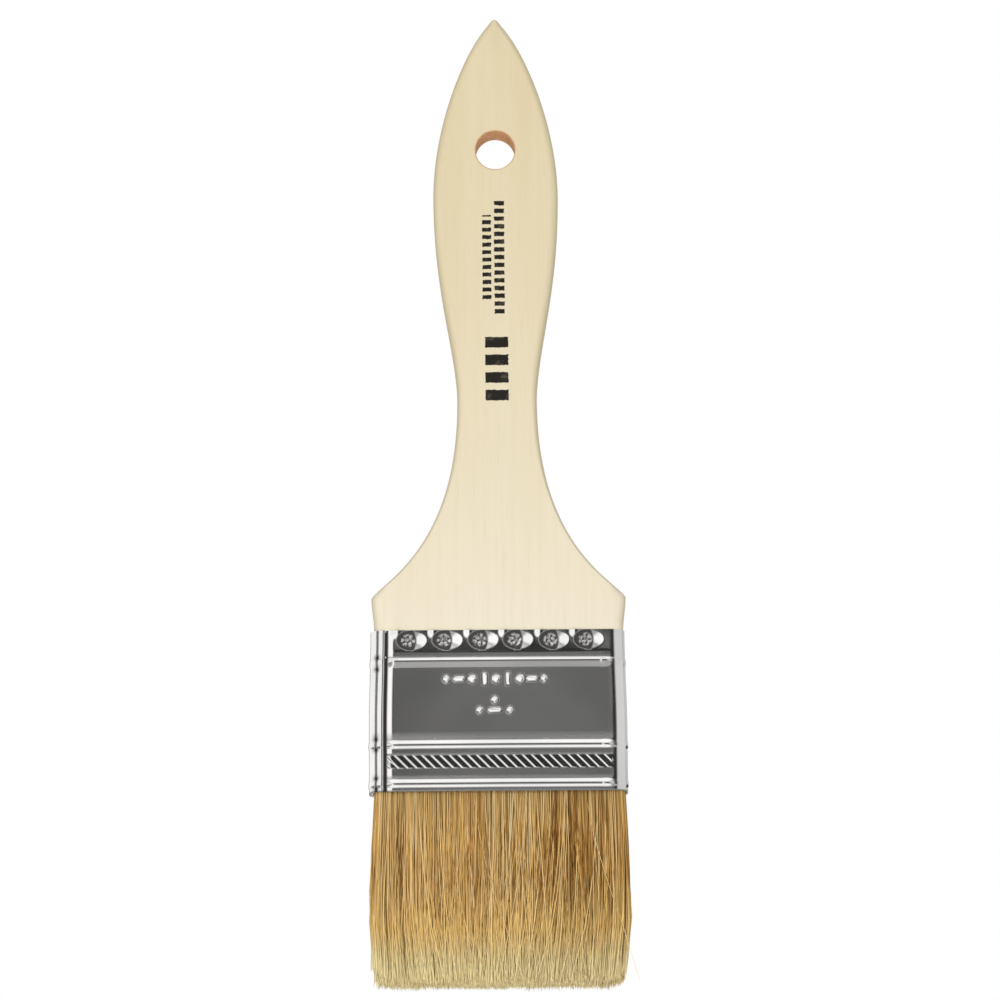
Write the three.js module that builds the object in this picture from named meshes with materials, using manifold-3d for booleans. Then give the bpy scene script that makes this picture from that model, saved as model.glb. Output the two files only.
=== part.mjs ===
// A two inch flat chip brush: a pale wood handle with a hang hole, a tinned steel ferrule
// crimped on to it, and two banks of natural bristle set in resin round a spacer plug.
// Millimetres. +Z runs up the handle, +X across the brush, and the front faces -Y.
// The origin is the centre of the hang hole, in the middle of the handle's thickness.

import * as THREE from "three";
import { mergeVertices } from "three/addons/utils/BufferGeometryUtils.js";
import { ParametricGeometry } from "three/addons/geometries/ParametricGeometry.js";
import Module from "manifold-3d";

// ---- Driving dimensions ----

// Handle: half widths and heights of its outline, from the pointed tip to the straight tenon
const TIP_Z = 27.9;
const TIP_HALF_WIDTH = 0.9;
const BELLY_Z = -9.7;
const BELLY_HALF_WIDTH = 12.6;
const WAIST_Z = -51.7;
const WAIST_HALF_WIDTH = 8;
const SHOULDER_Z = -91.8;
const SHOULDER_HALF_WIDTH = 25.4;
const TENON_HALF_WIDTH = 25.1;
const TENON_LENGTH = 11.5;
const HANDLE_HALF_THICKNESS = 3.9;
const HANDLE_EDGE_RADIUS = 2.5;
const HANG_HOLE_RADIUS = 3.97;

// Ferrule: a tinplate strip bent round the brush, its ends locked in a seam on the -X side
const FERRULE_TOP_Z = -98.6;
const FERRULE_HEIGHT = 32.4;
const FERRULE_HALF_WIDTH = 25.5;
const FERRULE_HALF_THICKNESS = 4.3;
const FERRULE_CORNER_RADIUS = 3;
const SHEET = 0.3;
const BEAD_DEPTHS = [6.6, 23.1, 30.9];
const BEAD_HALF_HEIGHT = 1;
const BEAD_RISE = 0.45;
const SEAM_RISE = 0.6;
const SEAM_EDGE_X = -22.7;

// Crimps: rows of punched pits that drive the sheet into the wood, on the front and the back
const CRIMP_COUNT = 6;
const CRIMP_PITCH = 7.17;
const CRIMP_DEPTH_BELOW_TOP = 2;
const CRIMP_HALF_WIDTH = 2.45;
const CRIMP_SQUASH = 0.66;
const CRIMP_SINK = 0.8;
const CRIMP_FLOOR = 0.45;

// Bristle: its roots are fixed in the ferrule, and its free length bends just below the mouth
const PLUG_HALF_WIDTH = 22.5;
const PLUG_HALF_THICKNESS = 1.4;
const PLUG_LENGTH = 14;
const RESIN_HEIGHT = 3;
const PLUG_SEAT = 1.4;
const ROOT_CLEARANCE_ABOVE_BEND = 0.4;
const BEND_BELOW_MOUTH = 1.2;
const BEND_RADIUS = 3.6;
const BEND_HALF_WIDTH = 24.8;
const BRISTLE_END_Z = -170.3;
const BRISTLE_HALF_WIDTH = 26.3;
const BRISTLE_HALF_THICKNESS = 4.5;
const BANK_GAP = 0.3;
const RESERVOIR_HALF_THICKNESS = 1.3;
const RESERVOIR_LENGTH = 18;

// Clearance kept between separate pieces that rest against each other
const FIT = 0.1;

// ---- Sizes worked out from those ----

const FERRULE_MOUTH_Z = FERRULE_TOP_Z - FERRULE_HEIGHT;
const TENON_END_Z = FERRULE_TOP_Z - TENON_LENGTH;
const RESIN_TOP_Z = TENON_END_Z - 2 * FIT;
const RESIN_BOTTOM_Z = RESIN_TOP_Z - RESIN_HEIGHT;
const PLUG_TOP_Z = RESIN_BOTTOM_Z + PLUG_SEAT;
const BEND_Z = FERRULE_MOUTH_Z - BEND_BELOW_MOUTH;
const ROOTS_BOTTOM_Z = BEND_Z + BEND_RADIUS + ROOT_CLEARANCE_ABOVE_BEND;
const PACKED_HALF_WIDTH = FERRULE_HALF_WIDTH - SHEET - FIT;
const PACKED_HALF_THICKNESS = FERRULE_HALF_THICKNESS - SHEET - FIT;
const PACKED_CORNER_RADIUS = FERRULE_CORNER_RADIUS - SHEET - FIT;
const PAST = 5;

// ---- Solids ----

const wasm = await Module();
wasm.setup();

function solid(geometry) {
  const bare = geometry.index ? geometry.toNonIndexed() : geometry.clone();
  bare.deleteAttribute("normal");
  bare.deleteAttribute("uv");
  const merged = mergeVertices(bare, 1e-4);
  const corners = Array.from(merged.index.array);
  const kept = [];
  for (let i = 0; i < corners.length; i += 3) {
    const [a, b, c] = corners.slice(i, i + 3);
    if (a !== b && b !== c && c !== a) {
      kept.push(a, b, c);
    }
  }
  return new wasm.Manifold(
    new wasm.Mesh({
      numProp: 3,
      vertProperties: new Float32Array(merged.attributes.position.array),
      triVerts: new Uint32Array(kept),
    }),
  );
}

function joined(solids) {
  return solids.reduce((whole, piece) => whole.add(piece));
}

function piece(name, body, color, roughness, metalness) {
  const mesh = body.getMesh();
  const geometry = new THREE.BufferGeometry();
  geometry.setAttribute("position", new THREE.BufferAttribute(mesh.vertProperties, 3));
  geometry.setIndex(new THREE.BufferAttribute(mesh.triVerts, 1));
  geometry.computeVertexNormals();
  const made = new THREE.Mesh(geometry, new THREE.MeshStandardMaterial({ color, roughness, metalness }));
  made.name = name;
  return made;
}

function block(lowX, highX, lowY, highY, lowZ, highZ) {
  const geometry = new THREE.BoxGeometry(highX - lowX, highY - lowY, highZ - lowZ);
  geometry.translate((lowX + highX) / 2, (lowY + highY) / 2, (lowZ + highZ) / 2);
  return solid(geometry);
}

// A rectangle with round corners, across the brush
function roundedRectangle(halfX, halfY, radius) {
  const shape = new THREE.Shape();
  const x = halfX - radius;
  const y = halfY - radius;
  shape.absarc(x, y, radius, 0, Math.PI / 2);
  shape.absarc(-x, y, radius, Math.PI / 2, Math.PI);
  shape.absarc(-x, -y, radius, Math.PI, 1.5 * Math.PI);
  shape.absarc(x, -y, radius, 1.5 * Math.PI, 2 * Math.PI);
  return shape;
}

function prism(shape, lowZ, highZ) {
  const geometry = new THREE.ExtrudeGeometry(shape, {
    depth: highZ - lowZ,
    bevelEnabled: false,
    curveSegments: 5,
  });
  geometry.translate(0, 0, lowZ);
  return solid(geometry);
}

// A closed loft up the brush: section(angle share, height) gives a point of the outline there
function loft(section, heights, slices) {
  const stacks = heights.length + 1;
  const surface = (u, v, target) => {
    const step = Math.round(v * stacks);
    const height = heights[Math.min(Math.max(step - 1, 0), heights.length - 1)];
    if (step === 0 || step === stacks) {
      target.set(0, 0, height);
      return;
    }
    const [x, y] = section(u % 1, height);
    target.set(x, y, height);
  };
  return solid(new ParametricGeometry(surface, slices, stacks));
}

// ---- Handle ----

const handleCurves = [
  new THREE.CubicBezierCurve(
    new THREE.Vector2(TIP_HALF_WIDTH, TIP_Z),
    new THREE.Vector2(7.3, TIP_Z - 8.3),
    new THREE.Vector2(BELLY_HALF_WIDTH, BELLY_Z + 13.5),
    new THREE.Vector2(BELLY_HALF_WIDTH, BELLY_Z),
  ),
  new THREE.CubicBezierCurve(
    new THREE.Vector2(BELLY_HALF_WIDTH, BELLY_Z),
    new THREE.Vector2(BELLY_HALF_WIDTH, BELLY_Z - 19.3),
    new THREE.Vector2(WAIST_HALF_WIDTH, WAIST_Z + 10.7),
    new THREE.Vector2(WAIST_HALF_WIDTH, WAIST_Z),
  ),
  new THREE.CubicBezierCurve(
    new THREE.Vector2(WAIST_HALF_WIDTH, WAIST_Z),
    new THREE.Vector2(WAIST_HALF_WIDTH, WAIST_Z - 30.2),
    new THREE.Vector2(SHOULDER_HALF_WIDTH - 1.7, SHOULDER_Z + 3.1),
    new THREE.Vector2(SHOULDER_HALF_WIDTH, SHOULDER_Z),
  ),
];

// The handle's stations from the tenon's end to the tip, each with its half width and edge slope
function handleStations() {
  const stations = [
    { z: TENON_END_Z, halfWidth: TENON_HALF_WIDTH, slope: 0 },
    { z: FERRULE_TOP_Z, halfWidth: TENON_HALF_WIDTH, slope: 0 },
    { z: SHOULDER_Z, halfWidth: SHOULDER_HALF_WIDTH, slope: 0.3 },
  ];
  for (const curve of [...handleCurves].reverse()) {
    const steps = 11;
    for (let i = 1; i <= steps; i += 1) {
      const share = 1 - i / steps;
      const point = curve.getPoint(share);
      const along = curve.getTangent(share);
      stations.push({ z: point.y, halfWidth: point.x, slope: Math.abs(along.x / along.y) });
    }
  }
  return stations;
}

// The rounded edge keeps its radius square to the outline, so it thins the handle at the tip
function handleSection(share, station) {
  const corner = 4;
  const turns = 4 * (corner + 1);
  const index = Math.round(share * turns) % turns;
  const quarter = Math.floor(index / (corner + 1));
  const step = index % (corner + 1);
  const stretch = Math.hypot(1, station.slope);
  const reach = Math.min(station.halfWidth / stretch / HANDLE_EDGE_RADIUS, 1);
  const fullTurn = Math.acos(1 - reach);
  const rising = quarter % 2 === 0;
  const turn = fullTurn * (rising ? step / corner : 1 - step / corner);
  const inset = HANDLE_EDGE_RADIUS * (1 - Math.cos(turn)) * stretch;
  const x = Math.max(station.halfWidth - inset, 0.02);
  const y = HANDLE_HALF_THICKNESS - HANDLE_EDGE_RADIUS * (1 - Math.sin(turn));
  const sideX = quarter === 0 || quarter === 3 ? 1 : -1;
  const sideY = quarter < 2 ? 1 : -1;
  return [sideX * x, sideY * y];
}

function handle() {
  const stations = handleStations();
  const at = new Map(stations.map((station) => [station.z, station]));
  const blank = loft((share, z) => handleSection(share, at.get(z)), [...at.keys()], 20);
  const drill = new THREE.CylinderGeometry(HANG_HOLE_RADIUS, HANG_HOLE_RADIUS, 4 * PAST, 40);
  const pits = crimps((face) => crimpPunch(face, SHEET + FIT, 2 * FIT));
  return blank.subtract(solid(drill)).subtract(pits);
}

// ---- Ferrule ----

// One tapered punch for a crimp; deeper and wider by what is given, for the sheet's inner side
function crimpPunch(face, deeper, wider) {
  const length = CRIMP_SINK + deeper + PAST;
  const floor = CRIMP_HALF_WIDTH * CRIMP_FLOOR + wider;
  const flare = (CRIMP_HALF_WIDTH * (1 - CRIMP_FLOOR)) / CRIMP_SINK;
  const mouth = floor + flare * length;
  const geometry = new THREE.CylinderGeometry(mouth, floor, length, 14);
  geometry.scale(1, 1, CRIMP_SQUASH);
  geometry.translate(0, length / 2 - CRIMP_SINK - deeper, 0);
  geometry.translate(0, FERRULE_HALF_THICKNESS, 0);
  if (face < 0) {
    geometry.rotateZ(Math.PI);
  }
  return solid(geometry);
}

// The punches for every crimp, joined, for the front and the back
function crimps(punch) {
  const z = FERRULE_TOP_Z - CRIMP_DEPTH_BELOW_TOP;
  const all = [];
  for (const face of [-1, 1]) {
    const one = punch(face);
    for (let i = 0; i < CRIMP_COUNT; i += 1) {
      const x = (i - (CRIMP_COUNT - 1) / 2) * CRIMP_PITCH;
      all.push(one.translate([x, 0, z]));
    }
  }
  return joined(all);
}

// A half round bead that runs all the way round an outline
function bead(halfX, halfY, radius, depthBelowTop, halfHeight) {
  const flat = 0.2;
  const geometry = new THREE.ExtrudeGeometry(roundedRectangle(halfX, halfY, radius), {
    depth: flat,
    bevelEnabled: true,
    bevelThickness: halfHeight - flat / 2,
    bevelSize: BEAD_RISE + FIT,
    bevelSegments: 3,
    curveSegments: 5,
  });
  geometry.translate(0, 0, FERRULE_TOP_Z - depthBelowTop - flat / 2);
  return solid(geometry);
}

function beads(halfX, halfY, radius, halfHeight) {
  return joined(BEAD_DEPTHS.map((depth) => bead(halfX - FIT, halfY - FIT, radius - FIT, depth, halfHeight)));
}

// The locked ends of the strip: a second layer round the -X side, pressed into the same beads
function seamLap() {
  const outline = [
    FERRULE_HALF_WIDTH + SEAM_RISE,
    FERRULE_HALF_THICKNESS + SEAM_RISE / 2,
    FERRULE_CORNER_RADIUS + SEAM_RISE / 2,
  ];
  const side = block(-2 * FERRULE_HALF_WIDTH, SEAM_EDGE_X, -PAST, PAST, FERRULE_MOUTH_Z, FERRULE_TOP_Z);
  return prism(roundedRectangle(...outline), FERRULE_MOUTH_Z, FERRULE_TOP_Z)
    .add(beads(...outline, BEAD_HALF_HEIGHT))
    .intersect(side);
}

function ferrule() {
  const outline = [FERRULE_HALF_WIDTH, FERRULE_HALF_THICKNESS, FERRULE_CORNER_RADIUS];
  const bore = outline.map((size) => size - SHEET);
  const outside = prism(roundedRectangle(...outline), FERRULE_MOUTH_Z, FERRULE_TOP_Z)
    .add(seamLap())
    .add(beads(...outline, BEAD_HALF_HEIGHT));
  const inside = prism(roundedRectangle(...bore), FERRULE_MOUTH_Z - PAST, FERRULE_TOP_Z + PAST)
    .add(beads(...bore, BEAD_HALF_HEIGHT - SHEET))
    .subtract(crimps((face) => crimpPunch(face, SHEET, FIT)));
  return outside.subtract(inside).subtract(crimps((face) => crimpPunch(face, 0, 0)));
}

// ---- Setting ----

function packedPrism(lowZ, highZ) {
  return prism(roundedRectangle(PACKED_HALF_WIDTH, PACKED_HALF_THICKNESS, PACKED_CORNER_RADIUS), lowZ, highZ);
}

function plugBlock(grow, lowZ, highZ) {
  const halfX = PLUG_HALF_WIDTH + grow;
  const halfY = PLUG_HALF_THICKNESS + grow;
  return block(-halfX, halfX, -halfY, halfY, lowZ, highZ);
}

function spacerPlug() {
  return plugBlock(0, PLUG_TOP_Z - PLUG_LENGTH, PLUG_TOP_Z);
}

function resinCap() {
  const seat = plugBlock(FIT, RESIN_BOTTOM_Z - PAST, PLUG_TOP_Z + FIT);
  return packedPrism(RESIN_BOTTOM_Z, RESIN_TOP_Z).subtract(seat);
}

// ---- Bristle ----

// Everything on one side of the brush's middle plane, leaving half the gap between the banks
function bankSide(side) {
  const near = (side * BANK_GAP) / 2;
  const far = side * 2 * PAST;
  const wide = 2 * BRISTLE_HALF_WIDTH;
  return block(-wide, wide, Math.min(near, far), Math.max(near, far), BRISTLE_END_Z - PAST, RESIN_TOP_Z);
}

function bristleRoots(side) {
  const packed = packedPrism(ROOTS_BOTTOM_Z, RESIN_BOTTOM_Z - 2 * FIT);
  const plugSpace = plugBlock(1.5 * FIT, ROOTS_BOTTOM_Z - PAST, PLUG_TOP_Z);
  return packed.subtract(plugSpace).intersect(bankSide(side));
}

// The round top of the free bristle, which turns inside the ferrule's mouth
function bendRoll() {
  const endRadius = 0.3;
  const corner = BEND_RADIUS - endRadius;
  const outline = new THREE.Path();
  outline.moveTo(0, -BEND_HALF_WIDTH);
  outline.lineTo(endRadius, -BEND_HALF_WIDTH);
  outline.absarc(endRadius, corner - BEND_HALF_WIDTH, corner, -Math.PI / 2, 0);
  outline.absarc(endRadius, BEND_HALF_WIDTH - corner, corner, 0, Math.PI / 2);
  outline.lineTo(0, BEND_HALF_WIDTH);
  const geometry = new THREE.LatheGeometry(outline.getPoints(5), 24);
  geometry.rotateZ(-Math.PI / 2);
  geometry.translate(0, 0, BEND_Z);
  return solid(geometry);
}

// Half width and half thickness of the bristle at a share of its free length, 0 at the bend
function bristleSpread(share) {
  const swell = Math.sin(Math.min(share * 1.35, 1) * Math.PI / 2);
  const roundOff = Math.max(share - 0.9, 0) / 0.1;
  const draw = 1.6 * (1 - Math.sqrt(1 - roundOff * roundOff));
  return {
    halfWidth: THREE.MathUtils.lerp(BEND_HALF_WIDTH, BRISTLE_HALF_WIDTH, swell) - draw,
    halfThickness: THREE.MathUtils.lerp(BEND_RADIUS, BRISTLE_HALF_THICKNESS, swell) - draw,
  };
}

function freeBristle() {
  const length = BEND_Z - BRISTLE_END_Z;
  const shares = [1, 0.985, 0.96, 0.93, 0.9, 0.75, 0.55, 0.4, 0.28, 0.16, 0.07, 0];
  const section = (share, z) => {
    const { halfWidth, halfThickness } = bristleSpread((BEND_Z - z) / length);
    const outline = roundedRectangle(halfWidth, halfThickness, halfThickness - 0.3).getPoints(5);
    const point = outline[Math.round(share * outline.length) % outline.length];
    return [point.x, point.y];
  };
  const slices = roundedRectangle(BRISTLE_HALF_WIDTH, BRISTLE_HALF_THICKNESS, 1).getPoints(5).length;
  return loft(section, shares.map((share) => BEND_Z - share * length), slices);
}

// The hollow that the plug leaves between the banks, closing towards the tips
function reservoir() {
  const outline = new THREE.Shape();
  outline.moveTo(-RESERVOIR_HALF_THICKNESS, PAST);
  outline.lineTo(-RESERVOIR_HALF_THICKNESS, 0);
  outline.lineTo(0, -RESERVOIR_LENGTH);
  outline.lineTo(RESERVOIR_HALF_THICKNESS, 0);
  outline.lineTo(RESERVOIR_HALF_THICKNESS, PAST);
  const geometry = new THREE.ExtrudeGeometry(outline, { depth: 2 * PLUG_HALF_WIDTH, bevelEnabled: false });
  geometry.translate(0, 0, -PLUG_HALF_WIDTH);
  geometry.rotateX(Math.PI / 2);
  geometry.rotateZ(Math.PI / 2);
  geometry.translate(0, 0, BEND_Z);
  return solid(geometry);
}

function bristleBank(side) {
  return bendRoll().add(freeBristle()).subtract(reservoir()).intersect(bankSide(side));
}

// ---- The brush ----

const WOOD = 0xe8dcbe;
const TINPLATE = 0x8e9092;
const RESIN = 0x9a7a3c;
const BRISTLE = 0xb9975a;
const FRONT = -1;
const BACK = 1;

const brush = new THREE.Group();
brush.add(piece("handle", handle(), WOOD, 0.7, 0));
brush.add(piece("ferrule", ferrule(), TINPLATE, 0.25, 1));
brush.add(piece("resin_setting", resinCap(), RESIN, 0.4, 0));
brush.add(piece("spacer_plug", spacerPlug(), WOOD, 0.8, 0));
brush.add(piece("bristle_roots_front", bristleRoots(FRONT), BRISTLE, 0.6, 0));
brush.add(piece("bristle_roots_back", bristleRoots(BACK), BRISTLE, 0.6, 0));
brush.add(piece("bristle_bank_front", bristleBank(FRONT), BRISTLE, 0.6, 0));
brush.add(piece("bristle_bank_back", bristleBank(BACK), BRISTLE, 0.6, 0));

export default brush;
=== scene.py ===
"""The looks of a two inch flat chip brush: wood handle, tinplate ferrule and natural bristle.

Metres. +Z runs up the handle, +X across the brush, and the front faces -Y.
"""

import math

import bpy
import numpy as np
from mathutils import Matrix, Vector


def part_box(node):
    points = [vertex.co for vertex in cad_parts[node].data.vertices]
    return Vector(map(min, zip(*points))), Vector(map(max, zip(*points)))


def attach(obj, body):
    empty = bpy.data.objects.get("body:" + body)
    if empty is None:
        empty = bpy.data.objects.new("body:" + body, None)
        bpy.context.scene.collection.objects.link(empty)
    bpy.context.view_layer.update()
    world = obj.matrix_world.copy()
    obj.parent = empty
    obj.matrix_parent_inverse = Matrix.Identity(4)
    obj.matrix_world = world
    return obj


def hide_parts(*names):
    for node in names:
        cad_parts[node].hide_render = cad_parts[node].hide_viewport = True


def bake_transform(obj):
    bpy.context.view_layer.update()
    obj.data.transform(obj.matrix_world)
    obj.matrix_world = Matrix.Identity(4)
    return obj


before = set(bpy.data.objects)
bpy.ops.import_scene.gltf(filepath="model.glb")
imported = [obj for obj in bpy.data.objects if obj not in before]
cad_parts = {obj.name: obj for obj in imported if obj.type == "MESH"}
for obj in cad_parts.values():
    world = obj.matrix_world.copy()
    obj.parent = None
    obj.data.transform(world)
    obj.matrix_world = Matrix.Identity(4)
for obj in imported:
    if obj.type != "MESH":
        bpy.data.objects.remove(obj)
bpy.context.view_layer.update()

# ---- Where the CAD parts are ----

MM = 0.001
HANDLE_LOW, HANDLE_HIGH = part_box("handle")
FERRULE_LOW, FERRULE_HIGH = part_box("ferrule")
FIXED_BODY = "handle_and_ferrule"

TIP_Z = HANDLE_HIGH[2]
TENON_END_Z = HANDLE_LOW[2]
HANDLE_HALF_THICKNESS = HANDLE_HIGH[1]
FERRULE_TOP_Z = FERRULE_HIGH[2]
MOUTH_Z = FERRULE_LOW[2]
ROOTS_END_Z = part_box("bristle_roots_front")[0][2]
BRISTLE_END_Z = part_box("bristle_bank_front")[0][2]

# ---- The handle's outline, as (half width, height) ----

SHOULDER_Z = -91.8 * MM
SHOULDER_HALF_WIDTH = 25.4 * MM
NECK_HALF_WIDTH = 24.85 * MM
HANDLE_CURVES = [
    [(25.4, -91.8), (23.7, -88.7), (8.0, -81.9), (8.0, -51.7)],
    [(8.0, -51.7), (8.0, -41.0), (12.6, -29.0), (12.6, -9.7)],
    [(12.6, -9.7), (12.6, 3.8), (7.3, 19.6), (0.75, 27.5)],
]
# The rounded edge's width at some heights: wide at the shoulders and tight in the flare
EDGE_HEIGHTS = MM * np.array([-91.8, -89.5, -72.0, -51.7, -30.0, 5.0, 27.5])
EDGE_INSETS = MM * np.array([1.9, 0.6, 0.6, 1.05, 1.5, 1.4, 0.9])
EDGE_DROP = 2.0 * MM
HANG_HOLE_RADIUS = 3.97 * MM
HOLE_CHAMFER = 0.22 * MM

# ---- The handle's print ----

INK = (0.012, 0.009, 0.006)
INK_SOFT_EDGE = 0.05 * MM
# Each is (lowest x, highest x, lowest z, highest z, pitch in mm, inked share of the pitch)
PRINT_ROWS = [
    (-2.75, -0.95, -31.0, -13.6, 1.55, 0.56),
    (-0.35, 1.7, -34.0, -10.0, 1.6, 0.6),
    (-2.3, 2.35, -51.9, -37.6, 3.62, 0.62),
]

# ---- The ferrule's relief ----

FERRULE_HALF_WIDTH = 25.5 * MM
FERRULE_HALF_THICKNESS = 4.3 * MM
FERRULE_CORNER_RADIUS = 3.0 * MM
SHEET = 0.3 * MM
NECKED_IN = 0.4 * MM
# Each bead is (depth of its crest below the top, its extent above the crest, its extent below)
BEADS = MM * np.array([(6.2, 0.75, 1.6), (23.2, 1.3, 0.75), (31.0, 1.3, 0.75)])
BEAD_RISE = 0.45 * MM
BEAD_FADE = (21.6 * MM, 23.0 * MM)
BEAD_ROUND_SIDES = 0.3
CROWN = 0.16 * MM
TOP_LEAN = 0.17 * MM
CREASE_DEPTH = 4.5 * MM
HATCH_DEPTHS = (24.9 * MM, 27.9 * MM)
HATCH_PITCH = 1.81 * MM
HATCH_STEEP_WIDTH = 0.38 * MM
HATCH_RISE = 0.14 * MM
CRIMP_COUNT = 6
CRIMP_PITCH = 7.17 * MM
CRIMP_DEPTH_BELOW_TOP = 2.0 * MM
# The back's crimps get less painted shade than the front's
BACK_CRIMP_SHADE = 0.4
# Depths below the top of the inner grid's rows, from the top down to the mouth, in mm
INNER_DEPTHS = [
    *(0, 0.6, 1.1, 1.6, 2.1, 2.6, 3.1, 3.7, 4.6, 5.6, 6.6, 7.6),
    *(21.9, 23.1, 24.3, 29.6, 30.9, 32.4),
]
# The generic embossed ornament: each is (x, depth below the top, half length, radius, angle), in mm
ORNAMENT = [
    (-10.6, 9.9, 0.0, 0.75, 0.0),
    (-8.0, 9.9, 0.75, 0.5, 0.0),
    (-5.4, 9.9, 0.0, 0.95, 0.0),
    (-2.9, 9.9, 0.9, 0.5, 1.57),
    (-0.6, 9.9, 0.0, 0.95, 0.0),
    (1.8, 9.9, 0.9, 0.5, 1.57),
    (4.2, 9.9, 0.0, 0.95, 0.0),
    (6.6, 9.9, 0.75, 0.5, 0.0),
    (9.0, 9.9, 0.0, 0.75, 0.0),
    (-3.9, 16.2, 0.0, 0.75, 0.0),
    (-0.9, 16.2, 0.9, 0.5, 0.0),
    (2.1, 16.2, 0.0, 0.75, 0.0),
    (-0.9, 14.1, 0.0, 0.75, 0.0),
]
# The outer grid's rows, closest where the relief is fine: (depth in mm, rows until the next depth)
OUTER_ROWS = [
    *((32.4, 20), (29.6, 3), (28.1, 28), (24.7, 1), (24.4, 18), (21.8, 3)),
    *((17.6, 36), (8.2, 1), (7.9, 14), (5.3, 5), (4.0, 22), (0.0, 1)),
]

# ---- The bristle ----

STRANDS_PER_BANK = 4400
STRAND_SEED = 7
# The share of the outermost hairs that are pale strays, which cross the others
STRAY_SHARE = 0.04
STRAND_SIDES = 3
STRAND_TOP_Z = ROOTS_END_Z + 0.6 * MM
TONE_COLUMNS = 64
HAIRS_PER_CLUMP = 22
HAIR_RADII = (0.075 * MM, 0.115 * MM)
# The hairs' colours by tone; the last one is reddish, and only for a few
HAIR_TONES = [
    (0.0, (0.22, 0.09, 0.015)),
    (0.22, (0.5, 0.26, 0.055)),
    (0.5, (0.82, 0.51, 0.165)),
    (0.75, (0.96, 0.68, 0.28)),
    (0.93, (1.0, 0.82, 0.46)),
    (0.96, (0.66, 0.27, 0.08)),
]
HEAD_HALF_WIDTH = 24.95 * MM
# The hairs of a bank start between these distances from the middle of the mouth's thickness
BANK_INNER_Y = 0.1 * MM
BANK_OUTER_Y = 3.78 * MM

# ---- Camera, floor and lights ----

FLOOR_Z = -0.4
FLOOR_HALF_WIDTH = 6.0
FLOOR_FADE = (0.6, 2.2)
CAMERA_ELEVATION = -11
CAMERA_DISTANCE = 1.2
CAMERA_ROLL = -0.43
VIEW_WIDTH = 200.8 * MM
AIM = (0.45 * MM, 0, -71.46 * MM)
# What the tinplate reflects, as windows of direction: (azimuths from, to, softness in degrees,
# heights from, to, softness as the direction's z, brightness)
SOFTBOXES = [
    (-32, -13, 4, -0.8, 0.6, 0.1, 1.4),
    (-150, -28, 6, -0.12, 0.6, 0.1, 1.25),
    (32, 115, 8, -0.5, 2.0, 0.1, 0.85),
    (112, 172, 6, 0.06, 0.6, 0.04, 0.7),
]
PANEL_GLOW = (-0.9, 0.22, 0.05, 0.24)
ROOM_LIGHT = 0.72
# Each light is (name, place, size, power)
LIGHTS = [
    ("key", (-0.3, -1.3, 0.3), 0.7, 3.1),
    ("fill", (-0.05, -0.3, -0.34), 0.25, 0.37),
    ("back", (0.3, 1.2, 0.5), 0.9, 3.2),
]


# ---- Mesh helpers ----


def new_object(name, points, quads, triangles=None):
    """A mesh object made from numpy arrays of points and corner indices."""
    mesh = bpy.data.meshes.new(name)
    triangles = np.zeros((0, 3), int) if triangles is None else triangles
    corners = np.concatenate([quads.ravel(), triangles.ravel()]).astype(np.int32)
    quad_starts = 4 * np.arange(len(quads))
    triangle_starts = 4 * len(quads) + 3 * np.arange(len(triangles))
    starts = np.concatenate([quad_starts, triangle_starts]).astype(np.int32)
    mesh.vertices.add(len(points))
    mesh.vertices.foreach_set("co", points.astype(np.float32).ravel())
    mesh.loops.add(len(corners))
    mesh.loops.foreach_set("vertex_index", corners)
    mesh.polygons.add(len(starts))
    mesh.polygons.foreach_set("loop_start", starts)
    mesh.update(calc_edges=True)
    mesh.validate()
    mesh.shade_smooth()
    made = bpy.data.objects.new(name, mesh)
    bpy.context.scene.collection.objects.link(made)
    return made


def smoothstep(low, high, value):
    share = np.clip((value - low) / (high - low), 0, 1)
    return share * share * (3 - 2 * share)


def bell(offset, width):
    """1 where the offset is 0, falling smoothly to almost 0 at twice the width."""
    return np.exp(-((offset / width) ** 2))


def ring_quads(rings, columns):
    """Corner indices of the quads of a grid of rings, closed round each ring."""
    ring, column = np.meshgrid(np.arange(rings - 1), np.arange(columns), indexing="ij")
    right = (column + 1) % columns
    low = ring * columns
    high = low + columns
    return np.stack([low + column, low + right, high + right, high + column], axis=-1).reshape(-1, 4)


def closed_tube(name, points, rings, caps, inside_out=False):
    """A tube of rings, with a fan to a cap point at each end."""
    columns = len(points) // rings
    column = np.arange(columns)
    right = (column + 1) % columns
    top = (rings - 1) * columns
    low_fan = np.stack([right, column, np.full(columns, len(points))], axis=1)
    high_fan = np.stack([top + column, top + right, np.full(columns, len(points) + 1)], axis=1)
    quads = ring_quads(rings, columns)
    fans = np.concatenate([low_fan, high_fan])
    if inside_out:
        quads, fans = quads[:, ::-1], fans[:, ::-1]
    return new_object(name, np.concatenate([points, caps]), quads, fans)


def finish_piece(made, material):
    """Gives a new piece its material."""
    made.data.materials.clear()
    made.data.materials.append(material)
    return made


# ---- Material helpers ----


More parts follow.
